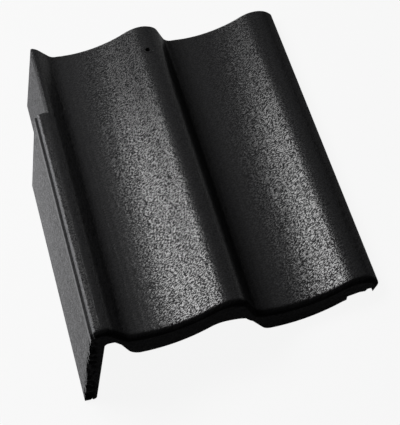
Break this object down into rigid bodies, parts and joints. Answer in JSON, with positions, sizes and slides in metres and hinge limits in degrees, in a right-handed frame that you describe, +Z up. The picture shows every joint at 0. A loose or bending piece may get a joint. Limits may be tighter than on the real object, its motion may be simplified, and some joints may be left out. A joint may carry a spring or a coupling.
{
  "type": "verge tile",
  "caption": "Left-hand verge tile of coated concrete: a double-S roof tile with a deep cloak along one edge, set in at its head end, and a nail hole.",
  "frame": {"origin": "middle of the tile's bounding box at floor level, the tile lying right way up on a level floor", "axes": "+Y up the roof slope from tail to head, +X across the roof from the cloak to the overlock, +Z up; the tile leans 20.7 degrees about Y, as it lies on its cloak's foot and its nose bar"},
  "size_m": [0.3566, 0.42, 0.1251],
  "materials": {
    "coated_concrete": "satin acrylic coat over through-coloured concrete, matt and grainy on the cloak and cut faces"
  },
  "bodies": {
    "root": {"verge_tile": "coated_concrete"}
  },
  "joints": []
}
